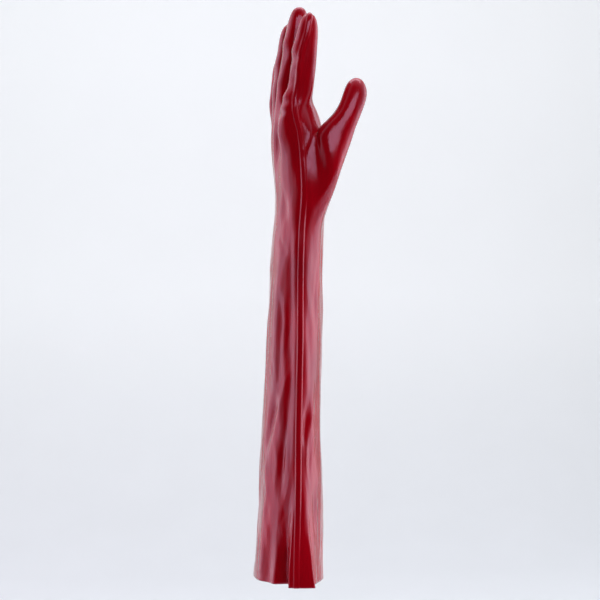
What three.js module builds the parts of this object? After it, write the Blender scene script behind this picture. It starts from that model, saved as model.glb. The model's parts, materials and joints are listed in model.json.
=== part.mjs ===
// A long PVC coated work glove for the left hand, in the form that it has when an arm fills it.
// Millimetres. The origin is the centre of the arm opening, +Z runs up the arm to the fingers,
// +X is the palm's side, -X the back of the hand, and -Y the thumb's side.
// One cage of four-sided cells follows the arm, the palm and the digits. It is rounded once,
// dented by the tables of folds, given its wall, and parted into the glove's named pieces.
import * as THREE from "three";

// Lengths along the arm
const SLEEVE_LENGTH = 376; // arm opening to wrist
const PALM_LENGTH = 127; // wrist to the fork of the index and middle fingers
const INDEX_LENGTH = 93; // each finger from its fork to its tip
const MIDDLE_LENGTH = 100;
const RING_LENGTH = 91;
const LITTLE_LENGTH = 68;

// Sizes across: breadth runs along Y, thickness along X
const CUFF_BREADTH = 150;
const CUFF_THICKNESS = 73;
const WRIST_BREADTH = 102;
const WRIST_THICKNESS = 51.5;
const PALM_BREADTH = 103;
const PALM_THICKNESS = 52;
const FINGER_WIDTH = 24.2; // of the middle finger
const FINGER_THICKNESS = 27;
const THUMB_WIDTH = 27;

const SLEEVE_LEAN = 10.5; // how far the wrist stands forward of the arm opening
const WALL = 1.4; // coating and liner together
const SEAM_HEIGHT = 1.5; // how far a side seam stands out under the coating
const SEAM_HALF_WIDTH = 4.5;
const JOIN_GAP = 0.3; // between two pieces of the glove
const FOLD_DEPTH = 4.5; // of a deep fold

const RAD = Math.PI / 180;
const ROUNDING = 1.1; // an eight-sided cage is drawn in by this much when it is rounded

const mix = (from, to, share) => from + (to - from) * share;

// Columns of the cage round the arm. turn is in degrees: 0 is the thumb side's seam, 90 the back
// of the hand, 180 the little finger's seam and 270 the palm.
const BACK_TURNS = [0, 8, 22, 42, 60, 75.5, 90, 104.5, 120, 138, 158, 172];
const TURNS = [...BACK_TURNS, ...BACK_TURNS.map((turn) => turn + 180)];
const THUMB_SEAM = 0;
const LITTLE_SEAM = 12;
const backColumn = (n) => n + 2; // n is 0 to 8 across the back of the hand
const palmColumn = (n) => 22 - n; // the same across the palm

// Sections of the sleeve. up: share of the sleeve's length. narrow and thin: share of the way from
// the cuff's breadth and thickness to the wrist's. lean: share of the sleeve's lean. lens: 0.5 is
// an ellipse, and more draws the sides out to a point. back: how far the side seams stand towards
// the back of the hand, as a share of half the thickness.
const SLEEVE = [
  { up: 0, narrow: 0, thin: 0, lean: 0, lens: 0.5, back: 0 },
  { up: 0.035, narrow: 0.03, thin: 0.05, lean: 0, lens: 0.52, back: 0 },
  { up: 0.12, narrow: 0.07, thin: 0.14, lean: 0.06, lens: 0.58, back: 0.02 },
  { up: 0.22, narrow: 0.13, thin: 0.22, lean: 0.19, lens: 0.68, back: 0.04 },
  { up: 0.33, narrow: 0.23, thin: 0.34, lean: 0.25, lens: 0.74, back: 0.05 },
  { up: 0.44, narrow: 0.33, thin: 0.49, lean: 0.32, lens: 0.76, back: 0.06 },
  { up: 0.55, narrow: 0.43, thin: 0.53, lean: 0.46, lens: 0.76, back: 0.07 },
  { up: 0.66, narrow: 0.52, thin: 0.55, lean: 0.61, lens: 0.74, back: 0.08 },
  { up: 0.77, narrow: 0.64, thin: 0.67, lean: 0.7, lens: 0.72, back: 0.1 },
  { up: 0.88, narrow: 0.78, thin: 0.81, lean: 0.8, lens: 0.7, back: 0.13 },
  { up: 0.95, narrow: 0.9, thin: 0.92, lean: 0.9, lens: 0.66, back: 0.16 },
  { up: 1, narrow: 1, thin: 1, lean: 1, lens: 0.62, back: 0.15 },
];

// Sections of the palm. up: share of the palm's length. wide and thick: shares of the palm's
// breadth and thickness. forward: share of the sleeve's lean. follow: how much of the slope of
// the finger forks the section has.
const PALM = [
  { up: 0.22, wide: 0.985, thick: 0.93, forward: 1.09, lens: 0.58, back: 0.12, follow: 0 },
  { up: 0.47, wide: 0.99, thick: 1.01, forward: 0.92, lens: 0.54, back: 0.08, follow: 0.1 },
  { up: 0.72, wide: 1.0, thick: 1.06, forward: 0.88, lens: 0.5, back: 0.08, follow: 0.4 },
  { up: 0.87, wide: 1.0, thick: 0.93, forward: 0.68, lens: 0.46, back: 0.08, follow: 0.8 },
  { up: 1, wide: 1.0, thick: 0.79, forward: 0.37, lens: 0.42, back: 0, follow: 1 },
];

// The cuff's pleat on the thumb's side. turn: degrees from that seam, to the back of the hand above
// 0. forward and out: how far the hem moves there, as shares of the cuff's thickness. It dies out
// up the sleeve.
const PLEAT_REACH = 0.27;
const PLEAT = [
  { turn: -76, forward: 0, out: 0 },
  { turn: -60, forward: 0, out: -0.12 },
  { turn: -42, forward: -0.02, out: -0.13 },
  { turn: -22, forward: 0.06, out: -0.1 },
  { turn: -8, forward: 0.04, out: 0.04 },
  { turn: 0, forward: -0.02, out: 0.05 },
  { turn: 8, forward: -0.08, out: 0 },
  { turn: 22, forward: 0.1, out: -0.27 },
  { turn: 42, forward: 0.06, out: -0.19 },
  { turn: 60, forward: 0.02, out: -0.16 },
  { turn: 75.5, forward: 0, out: 0 },
];

// How far the finger forks lie below the highest one. across: share of the palm's half breadth,
// from the thumb's side. drop: share of the palm's length.
const FORKS = [
  { across: -1, drop: 0.07 },
  { across: -0.5, drop: 0.02 },
  { across: 0, drop: 0 },
  { across: 0.5, drop: 0.09 },
  { across: 1, drop: 0.17 },
];

// The valleys between the knuckles. across: the column over the back of the hand. deep: share of
// the palm's thickness. drop: how far the fork runs down the back, as a share of its length.
const VALLEYS = [
  { across: 1, deep: -0.03, drop: 0 },
  { across: 2, deep: 0.1, drop: 0.07 },
  { across: 3, deep: -0.04, drop: 0 },
  { across: 4, deep: 0.1, drop: 0.075 },
  { across: 5, deep: -0.03, drop: 0 },
  { across: 6, deep: 0.09, drop: 0.05 },
];
const VALLEY_STARTS = 0.6; // share of the palm's length

// Fingers from the thumb's side. start and lean: where the finger's middle line begins, and how
// far it runs forward, as shares of the finger thickness. splay: how far its tip stands aside.
const FINGERS = [
  { name: "index_finger", length: INDEX_LENGTH, size: 0.98, start: 0.05, lean: 0.41, splay: -0.2 },
  { name: "middle_finger", length: MIDDLE_LENGTH, size: 1, start: -0.18, lean: 0.43, splay: -0.04 },
  { name: "ring_finger", length: RING_LENGTH, size: 0.95, start: -0.24, lean: 0.25, splay: 0.08 },
  { name: "little_finger", length: LITTLE_LENGTH, size: 0.85, start: -0.27, lean: 0.06, splay: 0.2 },
];

// Sections of a finger. up: share of its length. width and thick: shares of its half sizes.
const FINGER = [
  { up: 0.1, width: 0.9, thick: 1.03 },
  { up: 0.25, width: 0.98, thick: 0.99 },
  { up: 0.42, width: 1.03, thick: 1.0 },
  { up: 0.6, width: 0.97, thick: 0.91 },
  { up: 0.77, width: 0.93, thick: 0.84 },
  { up: 0.9, width: 0.8, thick: 0.7 },
  { up: 0.975, width: 0.46, thick: 0.4 },
];

// Sections of the thumb from the palm out. forward, aside and up place its middle from the wrist's
// centre, as shares of the palm's length. turn: degrees that the section faces forward of up.
// width and depth: shares of half the thumb's width.
const THUMB = [
  { forward: 0.165, aside: -0.355, up: 0.5, turn: 62, width: 1.95, depth: 1.15, part: "hand" },
  { forward: 0.25, aside: -0.348, up: 0.67, turn: 42, width: 1.35, depth: 1.1, part: "hand" },
  { forward: 0.33, aside: -0.338, up: 0.803, turn: 29, width: 1.0, depth: 1.05, part: "thumb" },
  { forward: 0.394, aside: -0.322, up: 0.924, turn: 24, width: 0.88, depth: 1.0, part: "thumb" },
  { forward: 0.436, aside: -0.303, up: 1.029, turn: 20, width: 0.91, depth: 0.93, part: "thumb" },
  { forward: 0.452, aside: -0.29, up: 1.11, turn: 17, width: 0.76, depth: 0.74, part: "thumb" },
  { forward: 0.458, aside: -0.283, up: 1.158, turn: 14, width: 0.36, depth: 0.36, part: "thumb" },
];
const THUMB_TIP = { forward: 0.459, aside: -0.281, up: 1.17 };
const THUMB_ROWS = [0, 2]; // the palm sections between which the thumb opens
const THUMB_COLUMNS = [0, 2]; // and the columns across the palm

// The ball of the thumb. Shares of the palm's length and half breadth.
const THENAR = { up: 0.27, across: -0.66, reachUp: 0.3, reachAcross: 0.44, height: 0.125 };

// Folds that stand out (height above 0) or dent in, on a straight line between two places on the
// sleeve. up: share of the sleeve's length. turn: degrees round. reach and height: shares of the
// fold depth.
const SLEEVE_FOLDS = [
  { up: [0, 0.25], turn: [43, 16], reach: 1.4, height: 0.36 },
  { up: [0, 0.25], turn: [-20, -14], reach: 1.2, height: 0.3 },
  { up: [0, 0.24], turn: [-34, -24], reach: 1.6, height: -0.4 },
  { up: [0, 0.18], turn: [58, 54], reach: 1.7, height: -0.4 },
  { up: [0.02, 0.24], turn: [72, 64], reach: 1.6, height: 0.3 },
  { up: [0.02, 0.3], turn: [106, 84], reach: 2.8, height: -0.5 },
  { up: [0, 0.25], turn: [140, 128], reach: 2.6, height: 0.5 },
  { up: [0, 0.22], turn: [168, 174], reach: 2.0, height: -0.7 },
  { up: [0, 0.2], turn: [180, 180], reach: 1.6, height: 0.8 },
  { up: [0, 0.22], turn: [196, 186], reach: 2.0, height: -0.7 },
  { up: [0, 0.24], turn: [222, 232], reach: 2.6, height: -0.6 },
  { up: [0, 0.26], turn: [262, 276], reach: 2.6, height: 0.45 },
  { up: [0.26, 1.02], turn: [25, 27], reach: 1.7, height: -0.5 },
  { up: [0.24, 0.54], turn: [43, 36], reach: 1.5, height: -0.35 },
  { up: [0.36, 0.54], turn: [72, 54], reach: 1.5, height: -0.35 },
  { up: [0.48, 0.92], turn: [56, 54], reach: 2.4, height: 0.35 },
  { up: [0.5, 0.86], turn: [112, 96], reach: 3.0, height: -0.5 },
  { up: [0.36, 0.52], turn: [-21, -26], reach: 1.5, height: -0.35 },
  { up: [0.34, 0.56], turn: [-30, -38], reach: 1.4, height: 0.25 },
  { up: [0.26, 0.9], turn: [-76, -66], reach: 3.0, height: -0.4 },
  { up: [0.6, 0.92], turn: [244, 256], reach: 3.0, height: -0.45 },
  { up: [0.3, 1.02], turn: [156, 154], reach: 1.7, height: -0.5 },
  { up: [0.3, 1.02], turn: [204, 206], reach: 1.7, height: -0.5 },
];

const lerpTable = (table, key, at, value) => {
  for (let i = 1; i < table.length; i += 1) {
    const low = table[i - 1];
    const high = table[i];
    if (at <= high[key]) {
      return mix(low[value], high[value], Math.max(0, (at - low[key]) / (high[key] - low[key])));
    }
  }
  return table.at(-1)[value];
};

// A section's place at a turn: a lens or an ellipse round its centre.
function sectionPoint(section, turn) {
  const across = -Math.cos(turn * RAD);
  const side = Math.sin(turn * RAD) < 0 ? 1 : -1;
  const bulge = Math.pow(Math.max(0, 1 - across * across), section.lens);
  const seamwards = section.back * Math.pow(Math.abs(across), 6);
  const x = section.centre + section.halfThickness * (side * bulge - seamwards);
  return new THREE.Vector3(x, section.halfBreadth * across, section.height);
}

function sleeveSection(up) {
  const value = (key) => lerpTable(SLEEVE, "up", Math.min(1, up), key);
  return {
    halfBreadth: mix(CUFF_BREADTH, WRIST_BREADTH, value("narrow")) / 2,
    halfThickness: mix(CUFF_THICKNESS, WRIST_THICKNESS, value("thin")) / 2,
    centre: SLEEVE_LEAN * value("lean"),
    lens: value("lens"),
    back: value("back"),
    height: SLEEVE_LENGTH * up,
  };
}

// The pleat folds the cuff's edge on the thumb's side.
function sleevePoint(up, turn) {
  const place = sectionPoint(sleeveSection(up), turn);
  const fromSeam = turn > 180 ? turn - 360 : turn;
  const fade = CUFF_THICKNESS * Math.max(0, 1 - up / PLEAT_REACH);
  if (fromSeam > PLEAT[0].turn && fromSeam < PLEAT.at(-1).turn) {
    place.x += lerpTable(PLEAT, "turn", fromSeam, "forward") * fade;
    place.y -= lerpTable(PLEAT, "turn", fromSeam, "out") * fade;
  }
  return place;
}

const palmSection = (row) => ({
  halfBreadth: (PALM_BREADTH * row.wide) / 2,
  halfThickness: (PALM_THICKNESS * row.thick) / 2,
  centre: SLEEVE_LEAN * row.forward,
  lens: row.lens,
  back: row.back,
  height: SLEEVE_LENGTH + PALM_LENGTH * row.up,
});

// The ball of the thumb pushes the palm's side forward.
function thenarPush(across, up) {
  const reach = Math.hypot((up - THENAR.up) / THENAR.reachUp, (across - THENAR.across) / THENAR.reachAcross);
  return PALM_LENGTH * THENAR.height * Math.exp(-2 * reach * reach);
}

// The back of the hand is pressed in between the knuckles.
function pressedIn(place, column, up) {
  const row = VALLEYS.find(({ across }) => backColumn(across) === column);
  if (row && up > VALLEY_STARTS) {
    const share = (up - VALLEY_STARTS) / (1 - VALLEY_STARTS);
    place.x += PALM_THICKNESS * row.deep * Math.min(1, 1.4 * share);
    place.z -= PALM_LENGTH * row.drop * share;
  }
  return place;
}

class Cage {
  points = [];
  seam = []; // 1 on a side seam, 0 elsewhere
  faces = []; // { part, corners }

  point(place, onSeam = 0) {
    this.seam.push(onSeam);
    return this.points.push(place) - 1;
  }

  face(part, ...corners) {
    this.faces.push({ part, corners });
  }
}

// Rows of points up the sleeve and the palm, one for each section.
function armRows(cage) {
  const onSeam = (column) => (column % LITTLE_SEAM === THUMB_SEAM ? 1 : 0);
  const rows = SLEEVE.map(({ up }) =>
    TURNS.map((turn, column) => cage.point(sleevePoint(up, turn), onSeam(column))),
  );
  for (const row of PALM) {
    const section = palmSection(row);
    rows.push(
      TURNS.map((turn, column) => {
        const place = sectionPoint(section, turn);
        const across = place.y / section.halfBreadth;
        place.z -= PALM_LENGTH * row.follow * lerpTable(FORKS, "across", across, "drop");
        if (turn > 180) {
          place.x += thenarPush(across, row.up);
        }
        return cage.point(pressedIn(place, column, row.up), onSeam(column));
      }),
    );
  }
  return rows;
}

// Joins two loops of points of the same length with a band of cells.
function band(cage, part, lower, upper) {
  lower.forEach((corner, i) => {
    const next = (i + 1) % lower.length;
    cage.face(part, corner, upper[i], upper[next], lower[next]);
  });
}

// Closes a loop of an even number of points round one point at the tip.
function cap(cage, part, loop, tip) {
  for (let i = 0; i < loop.length; i += 2) {
    cage.face(part, loop[i], tip, loop[(i + 2) % loop.length], loop[i + 1]);
  }
}

// A ring of eight points: 0 is the thumb's side, 2 the back, 4 the little finger's side.
function ring(cage, centre, across, back, halfWidth, halfThickness, seams) {
  return Array.from({ length: 8 }, (_, i) => {
    const angle = (i * Math.PI) / 4;
    const place = centre
      .clone()
      .addScaledVector(across, -halfWidth * ROUNDING * Math.cos(angle))
      .addScaledVector(back, halfThickness * ROUNDING * Math.sin(angle));
    return cage.point(place, seams.includes(i) ? 1 : 0);
  });
}

function finger(cage, index, rootRow, forks) {
  const { name, length, size, start, lean, splay } = FINGERS[index];
  const left = 2 * index;
  const root = [
    forks[index],
    rootRow[backColumn(left)],
    rootRow[backColumn(left + 1)],
    rootRow[backColumn(left + 2)],
    forks[index + 1],
    rootRow[palmColumn(left + 2)],
    rootRow[palmColumn(left + 1)],
    rootRow[palmColumn(left)],
  ];
  const across = (index - 1.5) / 2;
  const foot = new THREE.Vector3(
    SLEEVE_LEAN * PALM.at(-1).forward + FINGER_THICKNESS * start,
    (PALM_BREADTH / 2) * across,
    SLEEVE_LENGTH + PALM_LENGTH * (1 - lerpTable(FORKS, "across", across, "drop")),
  );
  const run = new THREE.Vector3(FINGER_THICKNESS * lean, FINGER_WIDTH * splay, length);
  const along = run.clone().normalize();
  const side = new THREE.Vector3(0, 1, 0).addScaledVector(along, -along.y).normalize();
  const back = new THREE.Vector3().crossVectors(side, along).negate();
  let lower = root;
  for (const { up, width, thick } of FINGER) {
    const upper = ring(
      cage,
      foot.clone().addScaledVector(run, up),
      side,
      back,
      (FINGER_WIDTH * size * width) / 2,
      (FINGER_THICKNESS * size * thick) / 2,
      [index === 0 ? 0 : -1, index === 3 ? 4 : -1],
    );
    if (lower === root) {
      rootBand(cage, name, index, rootRow, root, upper);
    } else {
      band(cage, name, lower, upper);
    }
    lower = upper;
  }
  cap(cage, name, lower, cage.point(foot.clone().add(run)));
}

// The first band of a finger takes in the columns beside a side seam, which end there.
function rootBand(cage, name, index, rootRow, root, upper) {
  const extras = {
    "0:0": [rootRow[THUMB_SEAM + 1]],
    "0:7": [rootRow[TURNS.length - 1]],
    "3:3": [rootRow[LITTLE_SEAM - 1]],
    "3:4": [rootRow[LITTLE_SEAM + 1]],
  };
  root.forEach((corner, i) => {
    const next = (i + 1) % 8;
    const between = extras[`${index}:${i}`] ?? [];
    cage.face(name, corner, upper[i], upper[next], root[next], ...between);
  });
}

// The points between two fingers, at the bottom of each fork, with the seams at both ends.
function forkPoints(cage, rootRow) {
  const inner = [2, 4, 6].map((n) => {
    const back = cage.points[rootRow[backColumn(n)]];
    const palm = cage.points[rootRow[palmColumn(n)]];
    return cage.point(back.clone().add(palm).multiplyScalar(0.5));
  });
  return [rootRow[THUMB_SEAM], ...inner, rootRow[LITTLE_SEAM]];
}

// The thumb opens from the palm beside the seam and turns up and forward.
function thumb(cage, palmRows) {
  const [low, high] = THUMB_ROWS;
  const [near, far] = THUMB_COLUMNS;
  const at = (row, n) => palmRows[row][palmColumn(n)];
  const root = [
    at(low + 1, near),
    at(high, near),
    at(high, near + 1),
    at(high, far),
    at(low + 1, far),
    at(low, far),
    at(low, near + 1),
    at(low, near),
  ];
  const place = ({ forward, aside, up }) =>
    new THREE.Vector3(
      SLEEVE_LEAN + PALM_LENGTH * forward,
      PALM_LENGTH * aside,
      SLEEVE_LENGTH + PALM_LENGTH * up,
    );
  let lower = root;
  for (const row of THUMB) {
    const turned = row.turn * RAD;
    const inner = new THREE.Vector3(-Math.cos(turned), 0, Math.sin(turned));
    const upper = ring(
      cage,
      place(row),
      new THREE.Vector3(0, 1, 0),
      inner,
      (THUMB_WIDTH * row.depth) / 2,
      (THUMB_WIDTH * row.width) / 2,
      [2, 6],
    );
    band(cage, row.part, lower, upper);
    lower = upper;
  }
  cap(cage, "thumb", lower, cage.point(place(THUMB_TIP), 1));
}

function gloveCage() {
  const cage = new Cage();
  const rows = armRows(cage);
  const wrist = SLEEVE.length - 1;
  for (let r = 0; r < rows.length - 1; r += 1) {
    const part = r < wrist ? "gauntlet_sleeve" : "hand";
    const palmRow = r - wrist - 1;
    TURNS.forEach((_, column) => {
      const next = (column + 1) % TURNS.length;
      const n = 22 - next;
      const inThumb =
        palmRow >= THUMB_ROWS[0] && palmRow < THUMB_ROWS[1] && n >= THUMB_COLUMNS[0] && n < THUMB_COLUMNS[1];
      if (!inThumb) {
        cage.face(part, rows[r][column], rows[r + 1][column], rows[r + 1][next], rows[r][next]);
      }
    });
  }
  const rootRow = rows.at(-1);
  const forks = forkPoints(cage, rootRow);
  FINGERS.forEach((_, index) => finger(cage, index, rootRow, forks));
  thumb(cage, rows.slice(wrist + 1));
  return cage;
}

const average = (vectors) =>
  vectors.reduce((sum, v) => sum.add(v), new THREE.Vector3()).divideScalar(vectors.length);

// One step of Catmull and Clark's rounding: each cell becomes as many cells as it has corners.
function rounded(cage) {
  const fine = new Cage();
  const edges = new Map();
  const key = (a, b) => (a < b ? `${a}_${b}` : `${b}_${a}`);
  cage.points.forEach((p, i) => fine.point(p.clone(), cage.seam[i]));
  const centres = cage.faces.map(({ corners }) => {
    const seam = corners.reduce((sum, c) => sum + cage.seam[c], 0) / corners.length;
    return fine.point(average(corners.map((c) => cage.points[c])), seam);
  });
  cage.faces.forEach(({ corners }, f) => {
    corners.forEach((a, i) => {
      const b = corners[(i + 1) % corners.length];
      const edge = edges.get(key(a, b)) ?? { a, b, faces: [] };
      edge.faces.push(f);
      edges.set(key(a, b), edge);
    });
  });
  const around = cage.points.map(() => ({ middles: [], centres: [], rim: [] }));
  for (const edge of edges.values()) {
    const { a, b, faces } = edge;
    const middle = cage.points[a].clone().add(cage.points[b]).multiplyScalar(0.5);
    const place = middle.clone();
    if (faces.length === 2) {
      place.add(average(faces.map((f) => fine.points[centres[f]]))).multiplyScalar(0.5);
    }
    edge.point = fine.point(place, (cage.seam[a] + cage.seam[b]) / 2);
    for (const end of [a, b]) {
      around[end].middles.push(middle);
      if (faces.length === 1) {
        around[end].rim.push(middle);
      }
    }
  }
  cage.faces.forEach(({ corners }, f) => corners.forEach((c) => around[c].centres.push(fine.points[centres[f]])));
  around.forEach(({ middles, centres: near, rim }, i) => {
    const p = cage.points[i];
    const n = middles.length;
    if (rim.length) {
      fine.points[i] = average(rim).add(p).multiplyScalar(0.5);
    } else {
      fine.points[i] = average(near)
        .addScaledVector(average(middles), 2)
        .addScaledVector(p, n - 3)
        .divideScalar(n);
    }
  });
  cage.faces.forEach(({ part, corners }, f) => {
    corners.forEach((c, i) => {
      const before = corners[(i + corners.length - 1) % corners.length];
      const after = corners[(i + 1) % corners.length];
      fine.face(part, c, edges.get(key(c, after)).point, centres[f], edges.get(key(before, c)).point);
    });
  });
  return fine;
}

// Outward directions of the points, each lengthened so that a wall set off by it keeps its width.
function outwards(cage) {
  const sums = cage.points.map(() => new THREE.Vector3());
  const sides = cage.points.map(() => []);
  for (const { corners } of cage.faces) {
    const [a, b, c, d] = corners.map((i) => cage.points[i]);
    const across = new THREE.Vector3().subVectors(c, a);
    const normal = across.cross(new THREE.Vector3().subVectors(d, b));
    for (const i of corners) {
      sums[i].add(normal);
      sides[i].push(normal.clone().normalize());
    }
  }
  return sums.map((sum, i) => {
    const normal = sum.normalize();
    const spread = sides[i].reduce((total, s) => total + s.dot(normal), 0) / sides[i].length;
    return normal.multiplyScalar(1 / Math.max(spread, 0.75));
  });
}

// Folds as straight lines in space, each with its reach and height.
function foldLines() {
  return SLEEVE_FOLDS.map(({ up, turn, reach, height }) => ({
    line: new THREE.Line3(sleevePoint(up[0], turn[0]), sleevePoint(up[1], turn[1])),
    reach: reach * FOLD_DEPTH,
    height: height * FOLD_DEPTH,
  }));
}

function foldHeight(lines, point) {
  const near = new THREE.Vector3();
  return lines.reduce((total, { line, reach, height }) => {
    const t = line.closestPointToPointParameter(point, true);
    line.at(t, near);
    const distance = near.distanceTo(point) / reach;
    const middle = Math.pow(Math.max(0, Math.sin(Math.PI * Math.min(1, Math.max(0, t)))), 0.6);
    const fade = line.start.z > 0 ? middle : 1 - t * t;
    return total + height * fade * Math.exp(-distance * distance);
  }, 0);
}

// The whole glove as cells with an outer and an inner place for each point.
function gloveShell() {
  const cage = rounded(gloveCage());
  const lines = foldLines();
  const first = outwards(cage);
  cage.points.forEach((p, i) => {
    const push = foldHeight(lines, p);
    const height = p.z;
    p.addScaledVector(first[i], push);
    p.z = Math.max(0, height < 1 ? 0 : p.z);
  });
  const out = outwards(cage);
  const outer = cage.points.map((p, i) =>
    p.clone().addScaledVector(out[i], SEAM_HEIGHT * Math.max(0, 2 * cage.seam[i] - 1)),
  );
  const inner = cage.points.map((p, i) => p.clone().addScaledVector(out[i], -WALL));
  for (const places of [outer, inner]) {
    places.forEach((p, i) => {
      if (cage.points[i].z < 1) {
        p.z = 0;
      }
    });
  }
  return { faces: cage.faces, outer, inner };
}

// One piece of the glove: its cells of the outer and the inner face, and a rim where they end.
function pieceGeometry(shell, part) {
  const own = shell.faces.filter((face) => face.part === part);
  const others = new Set(shell.faces.filter((face) => face.part !== part).flatMap((face) => face.corners));
  const inwards = new Map();
  for (const { corners } of own) {
    const centre = average(corners.map((c) => shell.outer[c]));
    for (const c of corners.filter((corner) => others.has(corner))) {
      const towards = inwards.get(c) ?? new THREE.Vector3();
      inwards.set(c, towards.add(centre.clone().sub(shell.outer[c]).normalize()));
    }
  }
  for (const towards of inwards.values()) {
    towards.normalize().multiplyScalar(JOIN_GAP / 2 / Math.SQRT1_2);
  }
  const place = (places, c) => (inwards.has(c) ? places[c].clone().add(inwards.get(c)) : places[c]);
  const corners = [];
  const triangle = (...points) => points.forEach((p) => corners.push(p.x, p.y, p.z));
  const rimEdges = new Map();
  for (const { corners: [a, b, c, d] } of own) {
    const short = shell.outer[a].distanceTo(shell.outer[c]) <= shell.outer[b].distanceTo(shell.outer[d]);
    const halves = short ? [[a, b, c], [a, c, d]] : [[a, b, d], [b, c, d]];
    for (const half of halves) {
      triangle(...half.map((i) => place(shell.outer, i)));
      triangle(...half.toReversed().map((i) => place(shell.inner, i)));
    }
    for (const [from, to] of [[a, b], [b, c], [c, d], [d, a]]) {
      if (!rimEdges.delete(`${to}_${from}`)) {
        rimEdges.set(`${from}_${to}`, [from, to]);
      }
    }
  }
  for (const [from, to] of rimEdges.values()) {
    const [a, b] = [place(shell.outer, from), place(shell.outer, to)];
    const [c, d] = [place(shell.inner, to), place(shell.inner, from)];
    triangle(b, a, d);
    triangle(b, d, c);
  }
  const geometry = new THREE.BufferGeometry();
  geometry.setAttribute("position", new THREE.Float32BufferAttribute(corners, 3));
  geometry.computeVertexNormals();
  return geometry;
}

const coating = () => new THREE.MeshStandardMaterial({ color: 0x9c0a1c, roughness: 0.35, metalness: 0 });

function piece(shell, part) {
  const mesh = new THREE.Mesh(pieceGeometry(shell, part), coating());
  mesh.name = part;
  return mesh;
}

const shell = gloveShell();
const glove = new THREE.Group();
const PARTS = ["gauntlet_sleeve", "hand", "thumb", ...FINGERS.map(({ name }) => name)];
PARTS.forEach((part) => glove.add(piece(shell, part)));

export default glove;
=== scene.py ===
"""A long PVC coated work glove for the left hand, with its studio.

The glove's coat is one surface. A cage of four-sided cells is laid out by the tables of sections,
rounded by subdivision, moulded by the tables of seams, folds and creases, and given its wall.
"""

import json
import math

import bpy
import numpy as np
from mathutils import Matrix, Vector, kdtree, noise

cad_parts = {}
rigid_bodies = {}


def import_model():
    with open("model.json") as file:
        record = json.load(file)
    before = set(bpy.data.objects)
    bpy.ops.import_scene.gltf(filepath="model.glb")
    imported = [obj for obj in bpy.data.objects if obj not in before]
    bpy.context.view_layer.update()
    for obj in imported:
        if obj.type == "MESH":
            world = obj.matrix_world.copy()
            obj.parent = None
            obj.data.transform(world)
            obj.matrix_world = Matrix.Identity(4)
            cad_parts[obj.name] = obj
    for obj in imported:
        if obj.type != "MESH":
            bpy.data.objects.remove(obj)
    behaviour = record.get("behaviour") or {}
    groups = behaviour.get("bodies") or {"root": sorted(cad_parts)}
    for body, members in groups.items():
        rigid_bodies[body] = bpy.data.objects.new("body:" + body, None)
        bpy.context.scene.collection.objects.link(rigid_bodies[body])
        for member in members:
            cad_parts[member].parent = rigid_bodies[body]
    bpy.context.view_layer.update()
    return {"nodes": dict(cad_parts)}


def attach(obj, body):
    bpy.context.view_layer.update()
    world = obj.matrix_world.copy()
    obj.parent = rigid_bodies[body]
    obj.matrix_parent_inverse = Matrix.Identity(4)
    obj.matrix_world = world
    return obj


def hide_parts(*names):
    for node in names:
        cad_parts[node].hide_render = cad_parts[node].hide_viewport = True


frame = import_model()

bl_info = {
    "name": "PVC Work Glove",
    "version": (1, 0, 0),
    "blender": (4, 5, 0),
    "location": "3D View > Sidebar > Glove",
    "description": "Models a long PVC coated work glove and a plain studio around it",
    "category": "Object",
}

# Lengths in millimetres, as in the CAD part. The cage is made in metres.
MM = 0.001
SLEEVE_LENGTH = 376
PALM_LENGTH = 127
CUFF = (150, 73)
WRIST = (102, 51.5)
PALM_SIZE = (103, 52)
FINGER_WIDTH = 24.2
FINGER_THICKNESS = 27
THUMB_WIDTH = 27
SLEEVE_LEAN = 10.5
# Subdivision draws a ring of a finger in. Its points stand out by this, and its odd ones more.
ROUNDING = 1.095
SQUARENESS = 1.09

# Columns round the glove in degrees: 0 is the seam on the thumb's side, 90 the back of the hand.
BACK_TURNS = (0, 8, 22, 42, 60, 75.5, 90, 104.5, 120, 138, 158, 172)
TURNS = BACK_TURNS + tuple(turn + 180 for turn in BACK_TURNS)
# The column of the little finger's seam, and the index finger's first columns on back and palm.
LITTLE_SEAM = 12
FIRST_BACK_COLUMN = 2
FIRST_PALM_COLUMN = 22
# The turns of the columns beside the seams, and how far they stand from them in millimetres.
SEAM_TURNS = (8, 172, 188, 352)
SEAM_BAND = 3.6
# The seam on the index finger runs nearer the back: height, forward, in millimetres. Distance from a
# seam counts less across the hand than along its side.
SEAM_DRIFT = ((440, 0), (472, -1.8), (500, -4.5), (545, -5.5), (568, -1.5), (590, 0))
SEAM_FLATTEN = 0.4

# Sleeve sections: up, narrow, thin, lean, lens of the back, lens of the palm's side, back.
SLEEVE = (
    (0, 0, 0, 0, 0.5, 0.5, 0),
    (0.035, 0.03, 0.05, 0, 0.52, 0.52, 0),
    (0.12, 0.07, 0.14, 0.06, 0.58, 0.58, 0.02),
    (0.22, 0.13, 0.22, 0.19, 0.68, 0.68, 0.04),
    (0.33, 0.23, 0.34, 0.25, 0.74, 0.74, 0.05),
    (0.44, 0.33, 0.49, 0.32, 0.76, 0.76, 0.06),
    (0.55, 0.43, 0.53, 0.46, 0.76, 0.76, 0.07),
    (0.66, 0.52, 0.55, 0.61, 0.74, 0.74, 0.08),
    (0.77, 0.64, 0.67, 0.7, 0.68, 0.72, 0.1),
    (0.88, 0.78, 0.81, 0.8, 0.6, 0.66, 0.12),
    (0.95, 0.9, 0.92, 0.9, 0.53, 0.5, 0.13),
    (1, 1, 1, 1, 0.47, 0.4, 0.12),
)

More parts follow.
